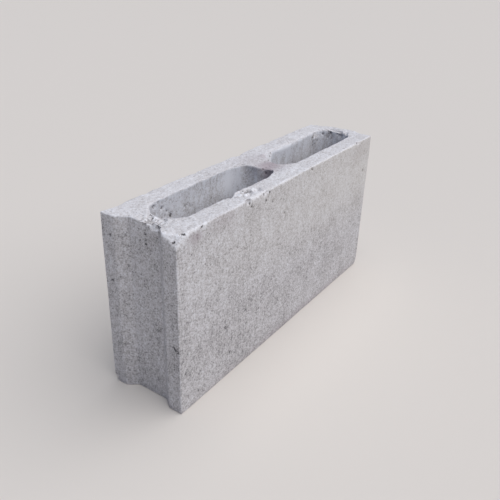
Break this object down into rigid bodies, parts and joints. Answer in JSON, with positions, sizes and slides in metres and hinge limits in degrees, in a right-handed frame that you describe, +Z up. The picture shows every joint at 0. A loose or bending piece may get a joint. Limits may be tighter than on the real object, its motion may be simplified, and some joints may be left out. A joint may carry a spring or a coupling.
{
  "type": "concrete block",
  "caption": "Hollow concrete building block with long through cores, a groove down one end and a matching tongue on the other.",
  "frame": {"origin": "on the floor, under the middle of the block's overall length and width", "axes": "+X along the block from the grooved end to the tongued end, +Y across its width, +Z up through the cores"},
  "size_m": [0.3976, 0.09, 0.19],
  "materials": {
    "concrete": "raw pressed concrete, porous and matt"
  },
  "bodies": {
    "root": {"concrete_block": "concrete"}
  },
  "joints": []
}
